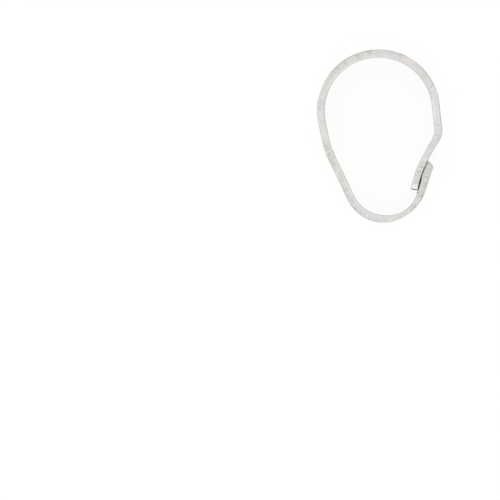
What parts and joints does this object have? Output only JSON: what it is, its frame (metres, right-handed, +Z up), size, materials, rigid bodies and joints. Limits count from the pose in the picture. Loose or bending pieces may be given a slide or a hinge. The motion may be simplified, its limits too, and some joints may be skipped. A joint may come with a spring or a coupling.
{
  "type": "snap-closing pendant bail",
  "caption": "Tapered flat strip bent into an egg-shaped loop, wide at the crown and narrow at the foot, whose two ends lap at the rear and spring open to take a pendant.",
  "frame": {"origin": "middle of the base of the box that the loop fills as it lies on its side, on the surface that it rests on", "axes": "+X to the rear, where the two ends lap; +Y to the crown, the wide end that the chain passes through; +Z up from the surface, within 6 degrees of the way that the chain runs through the loop"},
  "size_m": [0.0126, 0.0176, 0.0054],
  "materials": {
    "silver": "sterling silver: broad faces polished to a soft mirror, edges left with a fine satin from the file"
  },
  "bodies": {
    "root": {"bail_loop": "silver"}
  },
  "joints": []
}
